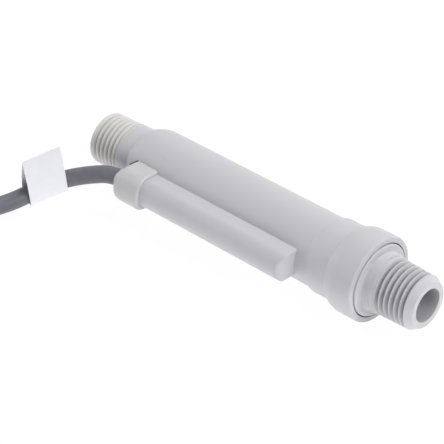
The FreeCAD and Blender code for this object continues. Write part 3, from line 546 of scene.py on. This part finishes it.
cable_jacket = cable_jacket_finish()
label_stock = label_finish()
tie_plastic = simple_finish("tie_plastic", (0.03, 0.03, 0.033), 0.5)
spring_wire = simple_finish("spring_wire", (0.55, 0.55, 0.56), 0.28, metal=1.0)
FINISHES = {
    "outlet_o_ring": simple_finish("seal_rubber", (0.02, 0.02, 0.02), 0.6),
    "piston": simple_finish("piston_plastic", (0.72, 0.7, 0.64), 0.4),
    "magnet_retainer": simple_finish("retainer_plastic", (0.7, 0.68, 0.62), 0.45),
    "piston_magnet": simple_finish("magnet_ferrite", (0.05, 0.05, 0.055), 0.6, grain=0.15 * MM),
    "potting_compound": simple_finish("potting_resin", (0.03, 0.03, 0.035), 0.25),
    "reed_glass": simple_finish("reed_glass", (0.85, 0.93, 0.88), 0.05, Transmission_Weight=0.9),
    "reed_blade_inlet": simple_finish("reed_metal", (0.6, 0.57, 0.52), 0.3, metal=1.0),
    "reed_blade_outlet": simple_finish("reed_metal_return", (0.6, 0.57, 0.52), 0.3, metal=1.0),
    "return_lead_sleeve": simple_finish("sleeve_plastic", (0.8, 0.8, 0.78), 0.45),
    "supply_splice": simple_finish("solder_supply", (0.6, 0.6, 0.6), 0.35, metal=1.0),
    "signal_splice": simple_finish("solder_signal", (0.6, 0.6, 0.6), 0.35, metal=1.0),
    "supply_core": simple_finish("supply_insulation", (0.5, 0.02, 0.02), 0.4),
    "signal_core": simple_finish("signal_insulation", (0.02, 0.02, 0.02), 0.4),
    "tail_supply_core": simple_finish("tail_supply_insulation", (0.5, 0.02, 0.02), 0.4),
    "tail_signal_core": simple_finish("tail_signal_insulation", (0.02, 0.02, 0.02), 0.4),
    "tail_supply_tip": simple_finish("tinned_supply", (0.66, 0.66, 0.66), 0.3, metal=1.0),
    "tail_signal_tip": simple_finish("tinned_signal", (0.66, 0.66, 0.66), 0.3, metal=1.0),
    "coil_tie": tie_plastic,
}
for name, material in FINISHES.items():
    nodes[name].data.materials.clear()
    nodes[name].data.materials.append(material)

# Body and outlet fitting with their threads
body_shape = merged_copy("switch_body")
belly_rail(body_shape)
soften_rail_end(body_shape)
add_thread(
    body_shape, end_face=inlet_x, way=-1, outline=WORN_THREAD, lead_in=(0.4 * MM, 0.35 * MM),
    root=inlet_x + 9.9 * MM, groove=inlet_x + 1.65 * MM,
    fade_root=(8.4 * MM, 9.7 * MM), fade_end=(0.9 * MM, 1.3 * MM))
threaded_body = finish_mesh("threaded_body", body_shape, body_plastic)
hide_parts("switch_body")

fitting_shape = merged_copy("outlet_fitting")
add_thread(
    fitting_shape, end_face=outlet_x, way=1, outline=SHARP_THREAD, lead_in=(1.7 * MM, 1.0 * MM),
    root=outlet_x - 11.0 * MM, groove=outlet_x - 2.7 * MM,
    fade_root=(10.3 * MM, 10.8 * MM), fade_end=(1.7 * MM, 2.2 * MM))
threaded_fitting = finish_mesh("threaded_fitting", fitting_shape, fitting_plastic)
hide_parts("outlet_fitting")

# Cap, its top a little lower where the cable comes out
cap_shape = merged_copy("cable_cap")
for cut in CAP_CUTS:
    add_row(cap_shape, (inlet_x + cut, 0, 0), (1, 0, 0))
for vert in cap_shape.verts:
    lowest = CAP_WALL_LOW if vert.co.x < RAIL_MOUTH else CAP_ROOF_LOW
    lifted = smooth_share(vert.co.z, lowest, CAP_TOP)
    vert.co.z -= CAP_DROP * lifted * smooth_share(inlet_x + CAP_CUTS[-1] - vert.co.x, 0, CAP_BENT)
worn_cap = finish_mesh("worn_cap", cap_shape, cap_plastic)
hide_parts("cable_cap")

# Return spring, between its seat and the piston, on a mesh of its own
pressed_spring = finish_mesh("pressed_spring", merged_copy("return_spring"), spring_wire)
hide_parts("return_spring")
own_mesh(pressed_spring)

# Label, wrapped a little askew and with its flanks bowed
label_shape = merged_copy("cable_label")
for row in range(1, LABEL_ROWS):
    add_row(label_shape, LABEL_PLACE + LABEL_UP * LABEL_TIP * row / LABEL_ROWS, LABEL_UP)
for vert in label_shape.verts:
    offset = vert.co - LABEL_PLACE
    risen = min(max(offset.dot(LABEL_UP) / LABEL_TIP, 0), 1)
    outward = LABEL_SIDE if offset.dot(LABEL_SIDE) > 0 else -LABEL_SIDE
    vert.co += outward * LABEL_BOW * math.sin(math.pi * risen) - LABEL_AXIS * LABEL_SKEW * risen
wrapped_label = finish_mesh("wrapped_label", label_shape, label_stock)
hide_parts("cable_label")


# Cable, on one smooth line from the cap to its stripped end
def coil_points():
    """The coil's turns, clockwise from above: outer and inner on the surface, then inner and outer on top."""
    points = []
    angle = COIL_STEP
    while angle < COIL_END - COIL_STEP / 2:
        inward = smooth_share(angle, *COIL_INWARDS) - smooth_share(angle, *COIL_OUTWARDS)
        lifted = smooth_share(angle, *COIL_UPWARDS)
        radius = COIL_OUTER + (COIL_INNER - COIL_OUTER) * inward
        radius /= math.cos(math.radians(COIL_STEP / 2))
        turn = math.radians(COIL_START - angle)
        points.append((
            COIL_CENTRE[0] + radius * math.cos(turn),
            COIL_CENTRE[1] + radius * math.sin(turn),
            COIL_LOW + (COIL_HIGH - COIL_LOW) * lifted,
        ))
        angle += COIL_STEP
    return points


route = LEAD_ROUTE + coil_points() + TAIL_ROUTE
cable_line = bpy.data.curves.new("signal_cable", "CURVE")
cable_line.dimensions = "3D"
spline = cable_line.splines.new("NURBS")
spline.points.add(len(route) - 1)
for point, place in zip(spline.points, route):
    point.co = (*(Vector(place) * MM), 1)
spline.order_u = 3
spline.use_endpoint_u = True
spline.resolution_u = 12
cable_line.bevel_depth = CABLE_RADIUS
cable_line.bevel_resolution = 6
cable_line.use_fill_caps = True
cable_line.materials.append(cable_jacket)
signal_cable = bpy.data.objects.new("signal_cable", cable_line)
bpy.context.scene.collection.objects.link(signal_cable)
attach(signal_cable, "housing")
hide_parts("cable_lead", "cable_coil", "cable_tail")

# Camera at the photograph's viewing angle
CAMERA_PLACE = Vector((314.7, -313.9, 257.38)) * MM
CAMERA_BACK = Vector((0.55765, -0.63508, 0.53451))
CAMERA_ROLL = math.radians(3.8)
CAMERA_UPRIGHT = Vector((0, -math.sin(CAMERA_ROLL), math.cos(CAMERA_ROLL)))
CAMERA_LENS = 166.98
CAMERA_SENSOR = 36
camera_data = bpy.data.cameras.new("camera")
camera_data.lens = CAMERA_LENS
camera_data.sensor_width = CAMERA_SENSOR
camera_data.clip_end = 10
camera = bpy.data.objects.new("camera", camera_data)
right = CAMERA_UPRIGHT.cross(CAMERA_BACK).normalized()
up = CAMERA_BACK.cross(right).normalized()
turn = Matrix((right, up, CAMERA_BACK.normalized())).transposed().to_4x4()
camera.matrix_world = Matrix.Translation(CAMERA_PLACE) @ turn
bpy.context.scene.collection.objects.link(camera)
bpy.context.scene.camera = camera
bpy.context.scene.view_settings.view_transform = "Standard"


# Floor, world and lamps
FLOOR_REACH = 3
FLOOR_GAP = 0.02 * MM
FLOOR_WHITENESS = 0.9
FLOOR_GLOW = 0.5
WORLD_LOW = 0.16
WORLD_HIGH = 0.17
OBJECT_MIDDLE = (0.05, 0, 0)


def white_where_seen(tree, surface, whiteness):
    """Mix a surface with plain white light for what the camera, gloss and glass see of it."""
    paths = tree.nodes.new("ShaderNodeLightPath")
    seen = tree.nodes.new("ShaderNodeMath")
    seen.operation = "MAXIMUM"
    either = tree.nodes.new("ShaderNodeMath")
    either.operation = "MAXIMUM"
    glow = tree.nodes.new("ShaderNodeEmission")
    glow.inputs["Color"].default_value = (1, 1, 1, 1)
    share = tree.nodes.new("ShaderNodeMath")
    share.operation = "MULTIPLY"
    share.inputs[1].default_value = whiteness
    mixed = tree.nodes.new("ShaderNodeMixShader")
    tree.links.new(paths.outputs["Is Camera Ray"], seen.inputs[0])
    tree.links.new(paths.outputs["Is Glossy Ray"], seen.inputs[1])
    tree.links.new(seen.outputs[0], either.inputs[0])
    tree.links.new(paths.outputs["Is Transmission Ray"], either.inputs[1])
    tree.links.new(either.outputs[0], share.inputs[0])
    tree.links.new(share.outputs[0], mixed.inputs[0])
    tree.links.new(surface, mixed.inputs[1])
    tree.links.new(glow.outputs[0], mixed.inputs[2])
    return mixed.outputs[0]


floor_shape = bmesh.new()
bmesh.ops.create_grid(floor_shape, x_segments=1, y_segments=1, size=FLOOR_REACH)
bmesh.ops.translate(floor_shape, verts=floor_shape.verts, vec=(0, 0, ground_z - FLOOR_GAP))
floor_mesh = bpy.data.meshes.new("floor")
floor_shape.to_mesh(floor_mesh)
floor_shape.free()
floor = bpy.data.objects.new("floor", floor_mesh)
bpy.context.scene.collection.objects.link(floor)
floor_finish = bpy.data.materials.new("floor_paper")
floor_finish.use_nodes = True
floor_tree = floor_finish.node_tree
paper = floor_tree.nodes["Principled BSDF"]
paper.inputs["Base Color"].default_value = (0.9, 0.9, 0.9, 1)
paper.inputs["Roughness"].default_value = 0.9
paper.inputs["Emission Color"].default_value = (1, 1, 1, 1)
paper.inputs["Emission Strength"].default_value = FLOOR_GLOW
floor_tree.links.new(
    white_where_seen(floor_tree, paper.outputs[0], FLOOR_WHITENESS),
    floor_tree.nodes["Material Output"].inputs["Surface"])
floor_mesh.materials.append(floor_finish)

world = bpy.data.worlds.new("studio")
bpy.context.scene.world = world
world.use_nodes = True
world_tree = world.node_tree
studio = world_tree.nodes["Background"]
studio.inputs["Color"].default_value = (0.97, 0.98, 1, 1)
heading = world_tree.nodes.new("ShaderNodeTexCoord")
split = world_tree.nodes.new("ShaderNodeSeparateXYZ")
height = world_tree.nodes.new("ShaderNodeMapRange")
height.inputs["To Min"].default_value = WORLD_LOW
height.inputs["To Max"].default_value = WORLD_HIGH
world_tree.links.new(heading.outputs["Generated"], split.inputs[0])
world_tree.links.new(split.outputs["Z"], height.inputs["Value"])
world_tree.links.new(height.outputs["Result"], studio.inputs["Strength"])
world_tree.links.new(
    white_where_seen(world_tree, studio.outputs[0], whiteness=1.0),
    world_tree.nodes["World Output"].inputs["Surface"])


def soft_lamp(name, place, size, power):
    """A round lamp of a size and power, turned to the middle of the object."""
    lamp_data = bpy.data.lights.new(name, "AREA")
    lamp_data.shape = "DISK"
    lamp_data.size = size
    lamp_data.energy = power
    lamp = bpy.data.objects.new(name, lamp_data)
    lamp.location = place
    lamp.rotation_euler = (Vector(OBJECT_MIDDLE) - Vector(place)).to_track_quat("-Z", "Y").to_euler()
    bpy.context.scene.collection.objects.link(lamp)


soft_lamp("overhead_lamp", place=(0.05, 0.24, 0.9), size=0.5, power=4.1)
soft_lamp("back_lamp", place=(0.05, 0.8, 0.5), size=0.5, power=1.6)
soft_lamp("outlet_lamp", place=(0.82, 0.02, 0.58), size=0.5, power=3.6)
soft_lamp("inlet_lamp", place=(-0.8, -0.25, 0.3), size=0.5, power=2.0)
soft_lamp("front_lamp", place=(-0.46, -0.67, 0.54), size=0.2, power=0.3)
